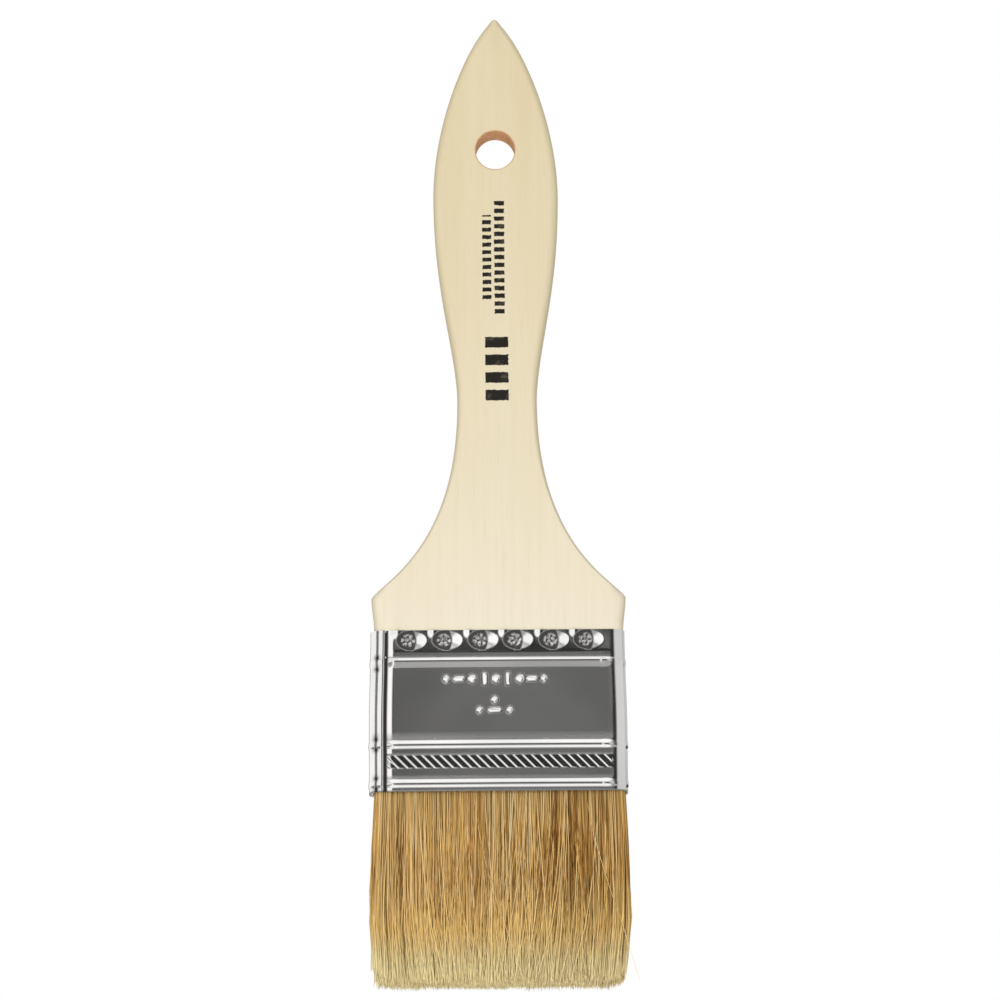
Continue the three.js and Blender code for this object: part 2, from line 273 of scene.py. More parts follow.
class Nodes:
    """A node tree, and short ways to add nodes to it."""

    def __init__(self, tree):
        self.tree = tree

    def node(self, kind, inputs=None, **settings):
        """A new node with these settings, and with these inputs linked or set."""
        made = self.tree.nodes.new(kind)
        for key, value in settings.items():
            setattr(made, key, value)
        for key, value in (inputs or {}).items():
            self.feed(made.inputs[key], value)
        return made

    def feed(self, socket, value):
        """Links a socket, or sets it to a plain number or colour."""
        if isinstance(value, bpy.types.NodeSocket):
            self.tree.links.new(value, socket)
        else:
            socket.default_value = value

    def math(self, operation, a, b=0.0, clamp=False):
        made = self.node("ShaderNodeMath", {0: a, 1: b}, operation=operation, use_clamp=clamp)
        return made.outputs[0]

    def product(self, a, b, clamp=False):
        return self.math("MULTIPLY", a, b, clamp)

    def coordinates(self, name="Object"):
        return self.node("ShaderNodeTexCoord").outputs[name]

    def split(self, vector):
        return self.node("ShaderNodeSeparateXYZ", {0: vector}).outputs

    def between(self, value, low, high):
        """0 where value is at low and 1 where it is at high, smoothly."""
        inputs = {"Value": value, "From Min": low, "From Max": high}
        return self.node("ShaderNodeMapRange", inputs, interpolation_type="SMOOTHSTEP").outputs[0]


class Shader(Nodes):
    """A material with one Principled shader."""

    def __init__(self, name, color, roughness, metallic=0.0, specular=0.5):
        self.material = bpy.data.materials.new(name)
        self.material.use_nodes = True
        super().__init__(self.material.node_tree)
        self.shader = self.tree.nodes["Principled BSDF"]
        self.shader.inputs["Base Color"].default_value = (*color, 1)
        self.shader.inputs["Roughness"].default_value = roughness
        self.shader.inputs["Metallic"].default_value = metallic
        self.shader.inputs["Specular IOR Level"].default_value = specular

    def attribute(self, name):
        """A number stored at each point of the mesh."""
        return self.node("ShaderNodeAttribute", attribute_name=name).outputs["Fac"]

    def stretched(self, scale):
        """Object coordinates scaled by a different factor on each axis."""
        inputs = {"Vector": self.coordinates(), "Scale": scale}
        return self.node("ShaderNodeMapping", inputs).outputs[0]

    def noise(self, scale, detail, roughness=0.5, distortion=0.0):
        inputs = {"Vector": self.stretched(scale), "Scale": 1, "Detail": detail}
        inputs |= {"Roughness": roughness, "Distortion": distortion}
        return self.node("ShaderNodeTexNoise", inputs).outputs["Fac"]

    def ramp(self, value, stops):
        """A colour ramp; each stop is (place, colour)."""
        made = self.node("ShaderNodeValToRGB", {0: value})
        elements = made.color_ramp.elements
        while len(elements) < len(stops):
            elements.new(0.5)
        for element, (place, color) in zip(elements, stops):
            element.position = place
            element.color = (*color, 1)
        return made.outputs[0]

    def share(self, value, whole):
        """Value as a share of the whole, from 0 to 1."""
        return self.math("DIVIDE", value, whole, True)

    def window(self, value, low, high, soft):
        """1 where value is between low and high, and 0 outside, with soft ends."""
        rise = self.share(self.math("SUBTRACT", value, low - soft), 2 * soft)
        return self.product(rise, self.share(self.math("SUBTRACT", high + soft, value), 2 * soft))

    def mix(self, share, base, color):
        """The base colour with a share of another; base comes from a node, and color may be plain."""
        color = (*color, 1) if isinstance(color, tuple) else color
        return self.node("ShaderNodeMix", {0: share, 6: base, 7: color}, data_type="RGBA").outputs[2]

    def scaled(self, value, low, high):
        """A 0 to 1 value mapped to low to high."""
        return self.math("ADD", self.product(value, high - low), low)

    def bump(self, height, distance, strength):
        inputs = {"Strength": strength, "Distance": distance, "Height": height}
        self.feed(self.shader.inputs["Normal"], self.node("ShaderNodeBump", inputs).outputs[0])

    def color(self, value):
        self.feed(self.shader.inputs["Base Color"], value)

    def roughness(self, value):
        self.feed(self.shader.inputs["Roughness"], value)


# ---- Materials ----

def printed_marks(wood):
    """A share that is 1 on the generic marks stamped on the handle's front: dashes and bold bars."""
    x, y, z = wood.split(wood.coordinates())
    front = wood.math("LESS_THAN", y, -0.9 * HANDLE_HALF_THICKNESS)
    ragged = wood.scaled(wood.noise((2200, 2200, 2200), 2), -0.175 * MM, 0.175 * MM)
    x = wood.math("ADD", x, ragged)
    z = wood.math("ADD", z, ragged)
    total = None
    for low_x, high_x, low_z, high_z, pitch, inked in PRINT_ROWS:
        across = wood.window(x, low_x * MM, high_x * MM, INK_SOFT_EDGE)
        share = wood.math("FRACT", wood.math("DIVIDE", wood.math("SUBTRACT", z, low_z * MM), pitch * MM))
        dash = wood.window(share, 0.02, inked, INK_SOFT_EDGE / (pitch * MM))
        along = wood.window(z, low_z * MM, high_z * MM, INK_SOFT_EDGE)
        mark = wood.product(wood.product(across, dash), along)
        total = mark if total is None else wood.math("MAXIMUM", total, mark)
    worn = wood.scaled(wood.noise((900, 900, 900), 4), 0.8, 1.25)
    return wood.product(wood.product(total, front), worn, True)


def edge_shade(wood):
    """A share of painted shade that grows to 1 on the handle's rounded edges, which turn away from its
    front and back.
    """
    facing = wood.math("ABSOLUTE", wood.split(wood.coordinates("Normal"))[1])
    return wood.share(wood.math("SUBTRACT", 0.93, facing), 0.6)


def handle_wood():
    """Pale unfinished wood with a fine upright grain, browner where the hole was drilled, with painted
    shade on its rounded edges.
    """
    wood = Shader("pale_wood", (0.8, 0.7, 0.5), 0.62, specular=0.3)
    x, _, z = wood.split(wood.coordinates())
    broad = wood.noise((95, 60, 4.5), 2, 0.5, 0.6)
    tones = [(0.3, (0.75, 0.63, 0.4)), (0.52, (0.79, 0.685, 0.455)), (0.75, (0.81, 0.72, 0.52))]
    color = wood.ramp(broad, tones)
    paler = wood.share(wood.math("SUBTRACT", 10 * MM, z), 110 * MM)
    color = wood.mix(wood.scaled(wood.math("POWER", paler, 2), 0, 0.8), color, (0.9, 0.83, 0.69))
    fine = wood.noise((1100, 700, 26), 4, 0.6, 0.4)
    color = wood.mix(wood.scaled(fine, 0.0, 0.34), color, (0.66, 0.54, 0.34))
    pores = wood.ramp(wood.noise((3800, 2600, 90), 3, 0.7), [(0.6, (0, 0, 0)), (0.75, (1, 1, 1))])
    color = wood.mix(wood.product(pores, 0.2), color, (0.5, 0.36, 0.2))
    # Painted shade on the rounded edges, which turn away from the light
    color = wood.mix(wood.product(edge_shade(wood), 0.55), color, (0.42, 0.35, 0.2))
    across, up = wood.product(x, x), wood.product(z, z)
    from_axis = wood.math("SQRT", wood.math("ADD", across, up))
    wall = wood.window(from_axis, 0, HANG_HOLE_RADIUS + 0.12 * MM, 0.1 * MM)
    burnt = wood.noise((500, 1800, 500), 4, 0.6)
    scorched = wood.ramp(burnt, [(0.3, (0.5, 0.27, 0.11)), (0.7, (0.84, 0.52, 0.26))])
    halo = wood.window(from_axis, 0, HANG_HOLE_RADIUS + 0.5 * MM, 0.35 * MM)
    color = wood.mix(wood.product(halo, 0.3), color, (0.85, 0.58, 0.36))
    color = wood.mix(wall, color, scorched)
    color = wood.mix(printed_marks(wood), color, INK)
    wood.color(color)
    wood.roughness(wood.scaled(fine, 0.5, 0.74))
    wood.bump(wood.math("SUBTRACT", fine, wood.product(pores, 0.6)), 0.06 * MM, 0.6)
    return wood.material


def tinplate():
    """Bright tinned steel with a faint drawn grain round the brush, small scuffs and painted shade in
    its crevices.
    """
    tin = Shader("tinplate", (0.72, 0.71, 0.69), 0.2, metallic=1.0, specular=0.2)
    drawn = tin.noise((22, 22, 5200), 3, 0.65)
    cloud = tin.noise((60, 60, 80), 3, 0.5, 0.4)
    color = tin.ramp(cloud, [(0.3, (0.67, 0.665, 0.655)), (0.7, (0.77, 0.76, 0.74))])
    color = tin.mix(tin.scaled(drawn, 0, 0.3), color, (0.6, 0.6, 0.59))
    painted_shade = tin.attribute("painted_shade")
    # Painted shade: near black, with less metal shine, where shade falls in crevices, seams and pits
    tin.color(tin.mix(painted_shade, color, (0.022, 0.018, 0.014)))
    tin.feed(tin.shader.inputs["Metallic"], tin.math("SUBTRACT", 1, painted_shade))
    scuffs = tin.ramp(tin.noise((500, 500, 2400), 5, 0.7), [(0.58, (0, 0, 0)), (0.72, (1, 1, 1))])
    base = tin.math("ADD", tin.scaled(cloud, 0.12, 0.18), tin.product(painted_shade, 0.25))
    tin.roughness(tin.math("ADD", base, tin.product(scuffs, 0.08)))
    tin.bump(drawn, 0.006 * MM, 0.4)
    return tin.material


def bristle_hair():
    """Natural hog bristle: its tone comes from the strand's column, and it pales towards the tip."""
    hair = Shader("hog_bristle", (0.6, 0.42, 0.2), 0.5, specular=0.1)
    uv = hair.node("ShaderNodeUVMap", uv_map="OFBake").outputs[0]
    column, along, _ = hair.split(uv)
    tone = hair.ramp(column, HAIR_TONES)
    placed = hair.node("ShaderNodeMapping", {"Vector": uv, "Scale": (90, 7, 1)}).outputs[0]
    inputs = {"Vector": placed, "Scale": 1}
    streak = hair.node("ShaderNodeTexNoise", inputs, noise_dimensions="2D").outputs["Fac"]
    color = hair.mix(hair.scaled(streak, -0.1, 0.42), tone, (0.5, 0.29, 0.085))
    pale = hair.ramp(along, [(0.52, (0, 0, 0)), (0.73, (0.74, 0.74, 0.74)), (0.93, (1, 1, 1))])
    pale_color = hair.ramp(along, [(0.75, (1.0, 0.73, 0.28)), (0.93, (1.0, 0.87, 0.49))])
    keeps_tone = hair.ramp(column, [(0.0, (0.6, 0.6, 0.6)), (0.5, (1, 1, 1))])
    color = hair.mix(hair.product(pale, keeps_tone), color, pale_color)
    root = hair.ramp(along, [(0.1, (1, 1, 1)), (0.3, (0, 0, 0))])
    color = hair.mix(hair.product(root, 0.2), color, (0.36, 0.27, 0.13))
    hair.color(color)
    return hair.material


def resin():
    """Set epoxy, amber and a little cloudy."""
    made = Shader("amber_resin", (0.35, 0.2, 0.06), 0.3)
    cloud = made.noise((320, 320, 320), 4, 0.6)
    made.color(made.ramp(cloud, [(0.3, (0.26, 0.14, 0.04)), (0.7, (0.45, 0.29, 0.1))]))
    return made.material


def plug_wood():
    """Rough sawn wood of the strip between the banks."""
    made = Shader("plug_wood", (0.62, 0.48, 0.28), 0.8, specular=0.2)
    grain = made.noise((60, 900, 900), 4, 0.6, 0.5)
    made.color(made.ramp(grain, [(0.3, (0.48, 0.34, 0.18)), (0.7, (0.7, 0.56, 0.36))]))
    made.bump(grain, 0.1 * MM, 0.5)
    return made.material


def packed_roots():
    """The root ends of the bristle, packed tight and stained by the resin."""
    made = Shader("packed_roots", (0.3, 0.2, 0.09), 0.6)
    hairs = made.noise((5200, 5200, 60), 3, 0.6)
    made.color(made.ramp(hairs, [(0.35, (0.16, 0.095, 0.035)), (0.65, (0.42, 0.28, 0.13))]))
    made.bump(hairs, 0.1 * MM, 0.6)
    return made.material


# ---- Handle ----


def bezier(points, shares):
    """Points of a cubic Bezier curve and their slopes, at these shares of its length."""
    p = np.array(points)
    t = shares[:, None]
    place = (1 - t) ** 3 * p[0] + 3 * (1 - t) ** 2 * t * p[1] + 3 * (1 - t) * t**2 * p[2] + t**3 * p[3]
    along = 3 * ((1 - t) ** 2 * (p[1] - p[0]) + 2 * (1 - t) * t * (p[2] - p[1]) + t**2 * (p[3] - p[2]))
    return place, along


def handle_stations():
    """Rows up the handle: its height, half width, and how far its outline leans from upright."""
    tenon = np.linspace(TENON_END_Z, FERRULE_TOP_Z + 0.2 * MM, 34)
    neck = np.linspace(FERRULE_TOP_Z + 0.8 * MM, SHOULDER_Z - 0.25 * MM, 7)
    heights = np.concatenate([tenon, neck])
    flare = smoothstep(FERRULE_TOP_Z, SHOULDER_Z, heights)
    widths = NECK_HALF_WIDTH + flare * (SHOULDER_HALF_WIDTH - NECK_HALF_WIDTH)
    rows = [(z, width, 0.0) for z, width in zip(heights, widths)]
    for curve in HANDLE_CURVES:
        last = curve is HANDLE_CURVES[-1]
        shares = np.linspace(0, 1, 41)[: 41 if last else 40]
        for (width, z), (dx, dz) in zip(*bezier(np.array(curve) * MM, shares)):
            rows.append((z, width, abs(dx / dz)))
    return np.array(rows)


def edge_profile(steps):
    """The rounded edge as (inset share, drop share), from the flat face to the side."""
    return bezier([(1.0, 0.0), (0.42, 0.13), (0.06, 0.46), (0.0, 1.0)], np.linspace(0, 1, steps))[0]


def handle_section(z, width, lean, thickness, across, edge):
    """One closed ring of the handle: (x, y) anticlockwise seen from above, from the front left."""
    inset = min(np.interp(z, EDGE_HEIGHTS, EDGE_INSETS) * math.hypot(1, lean), 0.75 * width)
    drop = min(EDGE_DROP, 0.75 * thickness)
    face_x = across * (width - inset)
    corner_x = width - edge[:, 0] * inset
    corner_y = thickness - edge[:, 1] * drop
    front = np.stack([face_x, np.full_like(face_x, -thickness)], axis=1)
    right = np.stack([corner_x, -corner_y], axis=1)[1:]
    right_back = np.stack([corner_x, corner_y], axis=1)[::-1]
    back = np.stack([-face_x, np.full_like(face_x, thickness)], axis=1)[1:]
    left = np.stack([-corner_x, corner_y], axis=1)[1:]
    left_front = np.stack([-corner_x, -corner_y], axis=1)[::-1][:-1]
    return np.concatenate([front, right, right_back, back, left, left_front])


def tip_rows(rows):
    """The last rows, on an arc from the outline to the tip: (height, half width, thickness share)."""
    z, width, lean = rows[-1]
    first = math.atan(lean)
    radius = (TIP_Z - z) / (1 - math.sin(first))
    made = []
    for turn in np.linspace(first, math.pi / 2, 8)[1:-1]:
        share = math.cos(turn) / math.cos(first)
        height = z + radius * (math.sin(turn) - math.sin(first))
        made.append((height, width * share + 0.03 * MM, 0.4 + 0.6 * share))
    return made


def handle_blank():
    """The handle before its hole is drilled, with the ferrule's crimps dented into its tenon."""
    across = np.linspace(-1, 1, 97)
    edge = edge_profile(9)
    rings = []
    rows = handle_stations()
    for z, width, lean in rows:
        near_tip = (TIP_Z - z) / (9 * MM)
        thickness = HANDLE_HALF_THICKNESS * (1 - 0.35 * max(0.0, 1 - near_tip) ** 2)
        rings.append((z, handle_section(z, width, lean, thickness, across, edge)))
    for z, width, share in tip_rows(rows):
        thickness = 0.65 * HANDLE_HALF_THICKNESS * share
        rings.append((z, handle_section(z, width, 0, thickness, across, edge)))
    points = np.concatenate([np.column_stack([ring, np.full(len(ring), z)]) for z, ring in rings])
    dent = crimp_relief(points[:, 0], points[:, 2])
    dented = HANDLE_HALF_THICKNESS + 1.5 * np.minimum(dent, 0)
    points[:, 1] = np.clip(points[:, 1], -dented, dented)
    return closed_tube("handle_wood", points, len(rings), [[0, 0, TENON_END_Z], [0, 0, TIP_Z]])


def hole_cutter():
    """A round drill with a small chamfer where it meets each face."""
    reach = HANDLE_HALF_THICKNESS
    profile = [
        (-reach - 2 * MM, HANG_HOLE_RADIUS + HOLE_CHAMFER + 2 * MM),
        (-reach + HOLE_CHAMFER, HANG_HOLE_RADIUS),
        (reach - HOLE_CHAMFER, HANG_HOLE_RADIUS),
        (reach + 2 * MM, HANG_HOLE_RADIUS + HOLE_CHAMFER + 2 * MM),
    ]
    columns = 96
    turn = np.arange(columns) * 2 * math.pi / columns
    rings = [
        np.stack([radius * np.cos(turn), np.full(columns, y), radius * np.sin(turn)], axis=1)
        for y, radius in profile
    ]
    caps = [[0, profile[0][0], 0], [0, profile[-1][0], 0]]
    return closed_tube("hole_cutter", np.concatenate(rings), len(rings), caps, inside_out=True)


def cut_away(made, cutter):
    """Takes the cutter's volume out of a piece, and removes the cutter."""
    boolean = made.modifiers.new("drill", "BOOLEAN")
    boolean.operation = "DIFFERENCE"
    boolean.solver = "EXACT"
    boolean.object = cutter
    graph = bpy.context.evaluated_depsgraph_get()
    result = bpy.data.meshes.new_from_object(made.evaluated_get(graph))
    made.modifiers.clear()
    made.data = result
    bpy.data.objects.remove(cutter)


def make_handle():
    made = handle_blank()
    cut_away(made, hole_cutter())
    made.data.shade_smooth()
    made.data.set_sharp_from_angle(angle=math.radians(13))
    finish_piece(made, handle_wood())
    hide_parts("handle")
    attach(made, FIXED_BODY)


# ---- Ferrule ----


def within(x, z, center_x, center_z, half_length, radius, angle):
    """How deep each point lies in an embossed bar or dot: from 0 at its edge to 1 at its middle."""
    cos, sin = math.cos(angle), math.sin(angle)
    dx = x - center_x
    dz = z - center_z
    along = dx * cos + dz * sin
    beside = -dx * sin + dz * cos
    past = np.maximum(np.abs(along) - half_length, 0)
    return np.clip(1 - np.hypot(past, beside) / radius, 0, 1)


def crimps(x, z):
    """Each crimp in turn, a little out of line, as five measures at each point: how far it lies across
    and up from the crimp's middle and how far from its punch mark's middle, in mm; its depth in the
    bowl, which is 1 at most and less than 0 outside; and the mark's grain."""
    random = np.random.default_rng(3)
    for i in range(CRIMP_COUNT):
        shift_x, shift_z = random.uniform(-0.09, 0.09, 2)
        across = (x - (i - (CRIMP_COUNT - 1) / 2) * CRIMP_PITCH) / MM - shift_x
        up = (z - FERRULE_TOP_Z + CRIMP_DEPTH_BELOW_TOP) / MM - shift_z
        from_punch = np.hypot(across + 0.35, 1.1 * up)
        bowl = 1 - np.hypot((across - 0.5) / np.where(across < 0.5, 3.0, 2.9), up / 1.95)
        grain = np.zeros_like(across)
        for turn, phase in random.uniform(0, 2 * math.pi, (5, 2)):
            grain = grain + 0.75 * np.cos(7.2 * (across * math.cos(turn) + up * math.sin(turn)) + phase)
        yield across, up, from_punch, bowl, grain


def crimp_relief(x, z):
    """How far the crimps move the sheet: a bowl, a round punch mark in it, and a swollen lip."""
    total = np.zeros_like(x)
    for across, up, from_punch, bowl, grain in crimps(x, z):
        punch = -0.26 * (1 - smoothstep(1.25, 1.6, from_punch))
        rough = 0.05 * grain * (1 - smoothstep(1.1, 1.5, from_punch))
        lip = 0.3 * bell(across + 2.3, 0.9) * bell(up - 1.5, 1.1)
        total = total + (-0.56 * np.maximum(bowl, 0) + punch + rough + lip) * MM
    return total


def crimp_shade(x, z):
    """Painted shade in each crimp's pit, left off its right wall, which catches the light, and off the
    raised grain of its punch mark.
    """
    total = np.zeros_like(x)
    for across, up, from_punch, bowl, grain in crimps(x, z):
        pit = smoothstep(-0.14, -0.05, bowl) * (1 - smoothstep(1.15, 1.5, across + 0.12 * up**2))
        spared_grain = smoothstep(-1.0, 0.4, grain) * (1 - smoothstep(1.2, 1.55, from_punch))
        total = np.maximum(total, 0.95 * pit * (1 - 0.85 * spared_grain))
    return total


def bead_relief(x, z):
    """The beads, full on the faces and lower round the narrow sides."""
    total = np.zeros_like(z)
    for depth, above, below in BEADS:
        past = z - (FERRULE_TOP_Z - depth)
        reach = np.clip(np.abs(past) / np.where(past > 0, above, below), 0, 1)
        total = total + BEAD_RISE * (0.5 + 0.5 * np.cos(math.pi * reach))
    crease = bell(z - FERRULE_TOP_Z + CREASE_DEPTH, 0.3 * MM)
    swollen_end = 1 + 0.3 * bell(np.abs(x) - BEAD_FADE[0] + 0.6 * MM, 0.6 * MM)
    faded = 1 - (1 - BEAD_ROUND_SIDES) * smoothstep(*BEAD_FADE, np.abs(x))
    return (total + 0.05 * MM * crease) * faded * swollen_end


def bead_shade(z):
    """A painted shade line along the top of each bead."""
    total = np.zeros_like(z)
    for depth, above, _ in BEADS:
        total = total + bell(z - FERRULE_TOP_Z + depth - above, 0.16 * MM)
    return total


def crown_relief(x, z, facing):
    """The faces swell a little in the middle, and lean in to the wood at the top."""
    depth = FERRULE_TOP_Z - z
    share = np.minimum(np.abs(x) / (22 * MM), 1)
    crown = CROWN * (1 - 1.8 * share**2) * smoothstep(0, 6 * MM, depth)
    lean = -TOP_LEAN * np.clip(1 - depth / (5 * MM), 0, 1)
    return (crown + lean) * np.abs(facing)


def hatch_relief(x, z, on_flat):
    """Slanted flutes in a band below the second bead, each steep on one side and gentle on the other."""
    depth = FERRULE_TOP_Z - z
    band = smoothstep(HATCH_DEPTHS[0], HATCH_DEPTHS[0] + 0.3 * MM, depth)
    band = band * (1 - smoothstep(HATCH_DEPTHS[1] - 0.3 * MM, HATCH_DEPTHS[1], depth))
    steep = HATCH_STEEP_WIDTH / HATCH_PITCH
    share = np.mod((x + z) / HATCH_PITCH, 1)
    flute = np.where(share < steep, smoothstep(0, steep, share), 1 - (share - steep) / (1 - steep))
    return HATCH_RISE * band * flute * on_flat


def ornament_places():
    for center_x, depth, half_length, radius, angle in ORNAMENT:
        yield center_x * MM, FERRULE_TOP_Z - depth * MM, half_length * MM, radius * MM, angle


def ornament_relief(x, z):
    """Bars and dots with steep edges, whose tops face a little up and to the left."""
    total = np.zeros_like(x)
    for place in ornament_places():
        top = 0.34 * MM + 0.18 * ((x - place[0]) - (z - place[1]))
        total = np.maximum(total, top * smoothstep(0, 0.25, within(x, z, *place)))
    return total


def ornament_shade(x, z):
    """Painted shade round the foot of each bar and dot."""
    total = np.zeros_like(x)
    for center_x, center_z, half_length, radius, angle in ornament_places():
        margin = 0.3 * MM
        share = within(x, z, center_x, center_z, half_length, radius + margin, angle)
        foot = margin / (radius + margin)
        ring = smoothstep(0, 0.6 * foot, share) * (1 - smoothstep(foot, 1.35 * foot, share))
        total = np.maximum(total, ring)
    return total


def seam_relief(turn):
    """The locked seam on the -X side, by the outline's direction in degrees: steps and grooves."""
    first = 0.3 * MM * smoothstep(9, 13, turn)
    second = 0.2 * MM * smoothstep(40, 45, turn)
    back = 1 - smoothstep(146, 154, turn)
    thin_groove = 0.16 * MM * bell(turn - 38, 2.6)
    back_groove = 0.16 * MM * bell(turn - 157, 3.5)
    return (first + second - thin_groove) * back - back_groove


def seam_dimples(x, z):
    """1 at the pinches where each bead meets the seam, falling to 0 around them."""
    total = np.zeros_like(x)
    for depth, above, below in BEADS:
        for place_x, place_z in ((-22.9, depth - above), (-24.4, depth - above), (-24.4, depth + below)):
            away = np.hypot((x - place_x * MM) / (0.42 * MM), (z - FERRULE_TOP_Z + place_z) / (0.5 * MM))
            total = total + bell(away, 1)
    return total


def valley_relief(x, z):
    """The front sheet sinks towards the seam's first edge, with a dimple where a bead meets the seam."""
    sunk = -0.22 * MM * smoothstep(-21.2 * MM, -22.85 * MM, x) * smoothstep(-23.5 * MM, -23.0 * MM, x)
    return sunk - 0.05 * MM * seam_dimples(x, z)


def seam_shade(x, z, turn):
    """Painted shade in the seam: a thin line along its fold, another at its back edge, and spots at the
    beads.
    """
    fold = 0.9 * bell(turn - 40.5, 2.0)
    back_edge = bell(turn - 156, 4.0)
    return np.maximum(fold, back_edge) + 0.9 * seam_dimples(x, z)


def gap_shade(x):
    """Painted shade in the gap on the front between the sheet and the seam's first edge."""
    return smoothstep(-22.25 * MM, -22.45 * MM, x) * smoothstep(-23.25 * MM, -23.05 * MM, x)


def outline_columns():
    """The ferrule's outline from the middle of its back, anticlockwise seen from above.

    Each column is (x, y, normal x, normal y, flat, turn): flat is 1 on the faces, and turn is the
    direction in degrees from the front towards -X, which is 0 away from the seam side."""
    straight_x = FERRULE_HALF_WIDTH - FERRULE_CORNER_RADIUS
    straight_y = FERRULE_HALF_THICKNESS - FERRULE_CORNER_RADIUS
    columns = []

    def flat(start, end, normal, count, turn):
        for share in np.arange(count) / count:
            x, y = np.array(start) + (np.array(end) - np.array(start)) * share
            columns.append((x, y, *normal, 1.0 if normal[0] == 0 else 0.0, turn))

    def corner(center, first, count, seam):
        for share in np.arange(count) / count:
            angle = math.radians(first + 90 * share)
            normal = (math.cos(angle), math.sin(angle))
            turn = 270 - math.degrees(angle) if seam else 0.0
            place = np.array(center) + FERRULE_CORNER_RADIUS * np.array(normal)
            columns.append((*place, *normal, 0.0, turn))

    side_x, face_y = FERRULE_HALF_WIDTH, FERRULE_HALF_THICKNESS
    flat((-straight_x, -face_y), (straight_x, -face_y), (0, -1), 266, 0.0)
    corner((straight_x, -straight_y), -90, 20, False)
    flat((side_x, -straight_y), (side_x, straight_y), (1, 0), 7, 0.0)
    corner((straight_x, straight_y), 0, 20, False)
    flat((straight_x, face_y), (-straight_x, face_y), (0, 1), 266, 180.0)
    corner((-straight_x, straight_y), 90, 38, True)
    flat((-side_x, straight_y), (-side_x, -straight_y), (-1, 0), 9, 90.0)
    corner((-straight_x, -straight_y), 180, 38, True)
    return np.array(columns)


def ferrule_rows():
    """Heights of the outer grid's rows from the mouth up."""
    depths = []
    for (low, count), (high, _) in zip(OUTER_ROWS, OUTER_ROWS[1:]):
        depths.extend(np.linspace(low, high, count, endpoint=False))
    return FERRULE_TOP_Z - np.array([*depths, OUTER_ROWS[-1][0]]) * MM


def over_sheet(columns, heights, measure):
    """What measure says at each point of the grid of heights by columns."""
    z = heights[:, None]
    x, _, _, facing, flat, turn = (column[None, :] + 0 * z for column in columns.T)
    return measure(x, z + 0 * x, facing, flat, turn)


def sheet_points(columns, heights, inwards, relief):
    """Points of one side of the sheet: a grid of heights by columns, moved out by its relief."""
    x, y, normal_x, normal_y, _, _ = (column[None, :] for column in columns.T)
    z = heights[:, None]
    necked = NECKED_IN * (1 - smoothstep(0, 20 * MM, FERRULE_TOP_Z - z))
    out = over_sheet(columns, heights, relief) - inwards
    narrow = 1 - necked / FERRULE_HALF_WIDTH
    grid = np.stack([x * narrow + out * normal_x, y + out * normal_y, z + 0 * out], axis=-1)
    return grid.reshape(-1, 3)


def unwrap_rings(made, rings, columns):
    """A UV map for the baked texture of a grid of closed rings: round each ring, by up the rings."""
    ring, column = np.meshgrid(np.arange(rings), np.arange(columns), indexing="ij")
    u = np.stack([column, column + 1, column + 1, column], axis=-1) / columns
    v = np.stack([ring, ring, ring + 1, ring + 1], axis=-1) / rings
    layer = made.data.uv_layers.new(name="OFBake")
    layer.data.foreach_set("uv", np.stack([u, v], axis=-1).astype(np.float32).ravel())


def inner_relief(x, z, facing, flat, turn):
    """What moves the whole thickness of the sheet."""
    valley = valley_relief(x, z) * (facing < 0)
    pressed = crimp_relief(x, z) * smoothstep(24.5 * MM, 22 * MM, np.abs(x)) * (flat > 0)
    return bead_relief(x, z) + crown_relief(x, z, facing) + valley + pressed


def outer_relief(x, z, facing, flat, turn):
    front = (facing < -0.5) * flat
    seam = np.where((turn > 0) & (flat == 0), seam_relief(turn), 0.0)
    ripple = 0.012 * MM * np.sin(x * 310 + 1.3) * np.sin(z * 420 + 0.4) * flat
    fluted = hatch_relief(x * np.sign(-facing + 1e-9), z, flat)
    sheet = inner_relief(x, z, facing, flat, turn)
    return sheet + seam + ripple + fluted + ornament_relief(x, z) * front


def outer_shade(x, z, facing, flat, turn):
    """How dark the painted shade is at each point of the outside, from 0 to 1."""
    seam = np.where((turn > 0) & (flat == 0), seam_shade(x, z, turn), 0.0)
    seam = np.maximum(seam, np.maximum(gap_shade(x), 0.9 * seam_dimples(x, z)) * (facing < 0))
    # Painted shade along the mouth's edge, where the sheet meets the bristle
    lip = 0.8 * smoothstep(FERRULE_TOP_Z - 32.0 * MM, MOUTH_Z, z)
    # Painted shade line along the top of the fluted band
    hatch_top = 0.8 * bell(z - FERRULE_TOP_Z + HATCH_DEPTHS[0] + 0.1 * MM, 0.17 * MM)
    pits = crimp_shade(x, z) * np.where(facing < 0, 1.0, BACK_CRIMP_SHADE)
    on_face = (pits + 0.45 * bead_shade(z) + hatch_top) * (flat > 0) * (np.abs(facing) > 0.5)
    return np.clip(seam + lip + on_face + ornament_shade(x, z) * (facing < -0.5), 0, 1)


def make_ferrule():
    columns = outline_columns()
    outer_rows = ferrule_rows()
    inner_rows = FERRULE_TOP_Z - np.array(INNER_DEPTHS) * MM
    outer = sheet_points(columns, outer_rows, 0, outer_relief)
    inner = sheet_points(columns, inner_rows, SHEET, inner_relief)
    points = np.concatenate([outer, inner])
    rings = len(outer_rows) + len(inner_rows)
    count = len(columns)
    quads = ring_quads(rings, count)
    last = (rings - 1) * count
    column = np.arange(count)
    right = (column + 1) % count
    lip = np.stack([last + column, last + right, right, column], axis=1)
    made = new_object("ferrule_tinplate", points, np.concatenate([quads, lip]))
    made.data.set_sharp_from_angle(angle=math.radians(50))
    unwrap_rings(made, rings, count)
    # Painted shade, on the outside of the sheet only
    painted_shade = np.zeros(len(points))
    painted_shade[: len(outer)] = over_sheet(columns, outer_rows, outer_shade).ravel()
    stored = made.data.attributes.new("painted_shade", "FLOAT", "POINT")
    stored.data.foreach_set("value", painted_shade.astype(np.float32))
    finish_piece(made, tinplate())
    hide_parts("ferrule")
    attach(made, FIXED_BODY)


# ---- Bristle ----


